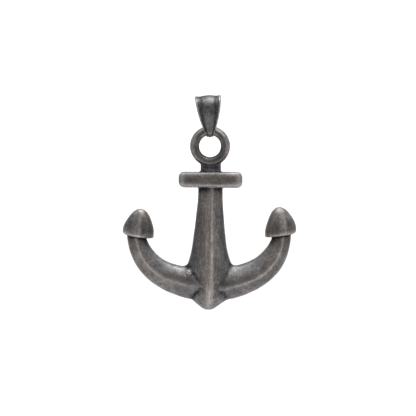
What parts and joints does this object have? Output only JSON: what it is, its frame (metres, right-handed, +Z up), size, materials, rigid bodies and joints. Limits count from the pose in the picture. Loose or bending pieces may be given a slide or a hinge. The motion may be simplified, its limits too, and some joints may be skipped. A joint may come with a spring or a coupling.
{
  "type": "anchor pendant",
  "caption": "Ship's anchor pendant cast in darkened silver, with an eye ring, crossbar, ridged shank, curved arms and rounded cone flukes, swinging in a tapered bail.",
  "frame": {"origin": "the seat of the chain, at the inside top of the bail", "axes": "+Z up along the hanging line, +X to the right seen from the front, -Y towards the front"},
  "size_m": [0.0326, 0.005, 0.04],
  "materials": {
    "cast_silver": "cast silver, darkened and rubbed back to a soft grey on its ridges",
    "bail_silver": "darkened silver, dark in its grooves and rubbed bright on its lips"
  },
  "bodies": {
    "bail": {"bail": "bail_silver"},
    "anchor": {"anchor": "cast_silver"}
  },
  "joints": [
    {"name": "anchor_swing", "type": "hinge", "parent": "bail", "child": "anchor", "pos_m": [0.00034, 0, -0.00606], "axis": [1, 0, 0], "range_deg": [-130, 130]}
  ]
}
